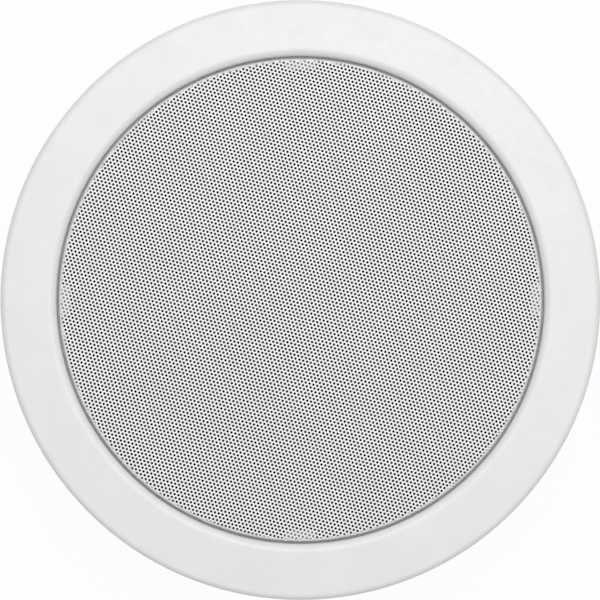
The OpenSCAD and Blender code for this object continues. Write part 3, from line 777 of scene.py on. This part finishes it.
def make_clamp_screw(number, shader):
    """A pan-head machine screw with its thread and cross recess."""
    turn = math.radians(90 * (number - 1))
    verts, faces, rings = [], [], []
    segments, flank = 48, 0.32

    def ring(radius, z):
        rings.append(len(verts))
        for i in range(segments):
            a = 2 * math.pi * i / segments
            r = radius(a) if callable(radius) else radius
            x, y = r * math.cos(a), r * math.sin(a)
            deep = recess_depth(x, y) if z > SCREW_SEAT + SCREW_HEAD_H * 0.5 else 0
            verts.append((x, y, z - deep))
    corner = SCREW_HEAD_H * 0.6
    for r in (0.12, 0.25, 0.36, 0.44, 0.52, 0.65, 0.8, 1.0, 1.2, 1.35):
        ring(r, SCREW_SEAT + SCREW_HEAD_H)
    for r, z in arc((SCREW_HEAD_R - corner, SCREW_HEAD_H - corner), corner, 88, 0, 12):
        ring(r, SCREW_SEAT + z)
    ring(SCREW_HEAD_R, SCREW_SEAT)
    low = SCREW_SEAT - SCREW_LENGTH
    step = THREAD_PITCH / 10
    count = int(SCREW_LENGTH / step)
    for i in range(count + 1):
        z = SCREW_SEAT - step * i
        fade = min(1.0, i / 10)

        def thread(a):
            phase = (z / THREAD_PITCH - a / (2 * math.pi)) % 1
            crest = max(0.0, 1 - abs(phase - 0.5) / flank)
            return THREAD_ROOT + (THREAD_CREST - THREAD_ROOT) * (crest * fade + (1 - fade))
        ring(thread, z)
    ring(THREAD_ROOT, low - 0.05)
    ring(0.4, low - 0.9)
    for a, b in zip(rings, rings[1:]):
        for i in range(segments):
            j = (i + 1) % segments
            faces.append([a + i, b + i, b + j, a + j])
    faces.append(list(range(segments)))
    faces.append([rings[-1] + i for i in reversed(range(segments))])
    placed = []
    for x, y, z in verts:
        x, y = x + SCREW_AT[0], y + SCREW_AT[1]
        placed.append((x * math.cos(turn) - y * math.sin(turn), x * math.sin(turn) + y * math.cos(turn), z))
    piece = new_object(f"clamp_screw_{number}_threaded", placed, faces, 50)
    ride_as(piece, f"screw_{number}", f"clamp_screw_{number}")
    dress(piece, shader)


# Camera, floor and light
def make_camera():
    px_m = FLANGE_R / DISC_R_PX * MM
    data = bpy.data.cameras.new("camera")
    camera = bpy.data.objects.new("camera", data)
    bpy.context.scene.collection.objects.link(camera)
    data.sensor_width = SENSOR
    data.lens = SENSOR * CAMERA_HEIGHT / (PHOTO_WIDTH * px_m)
    middle = PHOTO_WIDTH / 2
    camera.location = ((middle - DISC_CENTRE_X) * px_m, (DISC_CENTRE_Y - middle) * px_m, CAMERA_HEIGHT)
    data.clip_end = 50
    bpy.context.scene.camera = camera


def make_floor():
    """A floor, white to camera and glossy rays, that keeps the shadow and is open from below."""
    corners = [(x * FLOOR_HALF, y * FLOOR_HALF, FLOOR_Z) for x, y in ((-1, -1), (1, -1), (1, 1), (-1, 1))]
    floor = new_object("floor", corners, [(0, 1, 2, 3)], 0)
    s = Shader("floor", FLOOR_GREY, 0.9, spec=0.1)
    s.tint(s.span(s.noise(300, 2), 0, 1), 0.01)
    glow = s.node("ShaderNodeEmission")
    glow.inputs["Color"].default_value = (1, 1, 1, 1)
    glow.inputs["Strength"].default_value = 1.0
    path = s.node("ShaderNodeLightPath")
    seen = s.node("ShaderNodeMath", operation="MAXIMUM")
    s.link(path.outputs["Is Camera Ray"], seen.inputs[0])
    s.link(path.outputs["Is Glossy Ray"], seen.inputs[1])
    also = s.node("ShaderNodeMath", operation="MAXIMUM")
    s.link(seen.outputs[0], also.inputs[0])
    s.link(path.outputs["Is Transmission Ray"], also.inputs[1])
    share = s.node("ShaderNodeMath", operation="MULTIPLY")
    share.inputs[1].default_value = FLOOR_GLOW
    s.link(also.outputs[0], share.inputs[0])
    mix = s.node("ShaderNodeMixShader")
    s.link(share.outputs[0], mix.inputs[0])
    s.link(s.bsdf.outputs[0], mix.inputs[1])
    s.link(glow.outputs[0], mix.inputs[2])
    one_sided = s.node("ShaderNodeMixShader")
    s.link(s.node("ShaderNodeNewGeometry").outputs["Backfacing"], one_sided.inputs[0])
    s.link(mix.outputs[0], one_sided.inputs[1])
    s.link(s.node("ShaderNodeBsdfTransparent").outputs[0], one_sided.inputs[2])
    s.link(one_sided.outputs[0], s.tree.nodes["Material Output"].inputs["Surface"])
    dress(floor, s)


def area_light(name, azimuth, elevation, distance, size, power):
    """A soft square light aimed at the object. Azimuth 0 is +X and 90 is +Y, the picture's top."""
    data = bpy.data.lights.new(name, "AREA")
    data.size = size
    data.energy = power
    lamp = bpy.data.objects.new(name, data)
    bpy.context.scene.collection.objects.link(lamp)
    a, e = math.radians(azimuth), math.radians(elevation)
    lamp.location = Vector((math.cos(a) * math.cos(e), math.sin(a) * math.cos(e), math.sin(e))) * distance
    lamp.rotation_euler = (-lamp.location).to_track_quat("-Z", "Y").to_euler()


def make_light():
    area_light("key", KEY_AZIMUTH, KEY_ELEVATION, KEY_DISTANCE, KEY_SIZE, KEY_POWER)
    world = bpy.data.worlds.new("world")
    bpy.context.scene.world = world
    world.use_nodes = True
    background = world.node_tree.nodes["Background"]
    background.inputs["Color"].default_value = (1, 1, 1, 1)
    path = world.node_tree.nodes.new("ShaderNodeLightPath")
    level = world.node_tree.nodes.new("ShaderNodeMath")
    level.operation = "MULTIPLY_ADD"
    level.inputs[1].default_value = 1 - WORLD_LEVEL
    level.inputs[2].default_value = WORLD_LEVEL
    world.node_tree.links.new(path.outputs["Is Camera Ray"], level.inputs[0])
    world.node_tree.links.new(level.outputs[0], background.inputs["Strength"])
    bpy.context.scene.view_settings.view_transform = "Standard"


make_camera()
make_light()
make_floor()
record = frame["record"]
shaders = finishes(record["materials"])
slot_of = {part["node"]: part["material_slot"] for part in record["subparts"]}
for node, obj in frame["nodes"].items():
    dress(obj, shaders[slot_of[node]])
make_grille(shaders["white_steel"])
# The black cloth, and a grey layer of painted shade on the four lugs
make_cloth(shaders["black_cloth"], painted_lug_shade("painted_shade_on_lugs", LUG_SHADE_GREY, CLOTH_THREAD))
make_surround(shaders["black_rubber"])
make_spider(shaders["impregnated_cloth"])
make_back_plate(shaders["zinc_steel"])
make_tinsel_leads(shaders["braided_copper"])
make_wires(shaders["red_wire"], shaders["grey_wire"])
make_capacitor_leads(shaders["nickel"])
make_winding(shaders["copper_wire"])
for number in range(1, 5):
    make_clamp_screw(number, shaders["zinc_screw"])
